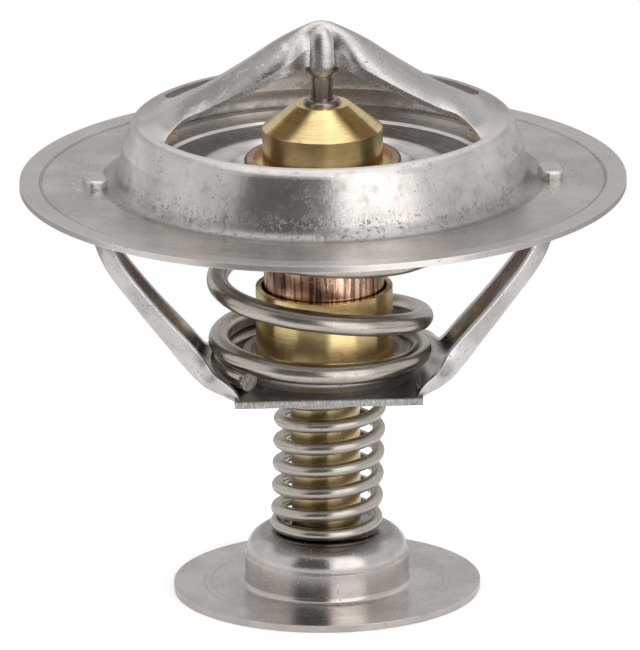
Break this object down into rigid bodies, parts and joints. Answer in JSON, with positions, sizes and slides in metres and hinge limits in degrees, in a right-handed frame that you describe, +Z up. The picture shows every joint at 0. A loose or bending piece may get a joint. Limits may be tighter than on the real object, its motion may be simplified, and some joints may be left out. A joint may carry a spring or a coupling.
{
  "type": "engine thermostat",
  "caption": "Wax-element engine thermostat: round flange with an arched bridge, brass and copper element, closing spring on a stirrup frame, and a sprung bypass disc on its stem.",
  "frame": {"origin": "middle of the bypass valve's lower face, on the axis", "axes": "+Z up along the axis towards the bridge; X along the bridge and the legs"},
  "size_m": [0.067, 0.067, 0.0654],
  "materials": {
    "flange_steel": "satin, warm grey",
    "frame_steel": "satin",
    "valve_steel": "satin",
    "bypass_steel": "satin",
    "spring_steel": "satin, darker wire",
    "polished_steel": "polished",
    "guide_brass": "turned",
    "sleeve_brass": "drawn, fine lines",
    "copper": "copper, drawn",
    "seal_rubber": "shiny dark",
    "boot_rubber": "black",
    "ring_plastic": "white",
    "wax": "copper-filled wax"
  },
  "bodies": {
    "frame": {"flange_frame": "flange_steel", "lower_frame": "frame_steel", "piston": "polished_steel", "main_spring": "spring_steel"},
    "element": {"guide": "guide_brass", "piston_seal": "seal_rubber", "backup_ring": "ring_plastic", "boot": "boot_rubber", "wax_charge": "wax", "element_cup": "copper", "main_valve": "valve_steel", "sleeve": "sleeve_brass", "retaining_washer": "frame_steel", "bypass_spring": "spring_steel"},
    "bypass": {"bypass_valve": "bypass_steel"}
  },
  "joints": [
    {"name": "valve_lift", "type": "slide", "parent": "frame", "child": "element", "axis": [0, 0, -1], "range_m": [0, 0.008], "stiffness_N_per_m": 2000, "springref_m": -0.01, "deforming": ["main_spring"]},
    {"name": "bypass_slide", "type": "slide", "parent": "element", "child": "bypass", "axis": [0, 0, 1], "range_m": [0, 0.005], "stiffness_N_per_m": 1500, "springref_m": -0.01, "deforming": ["bypass_spring"]}
  ]
}
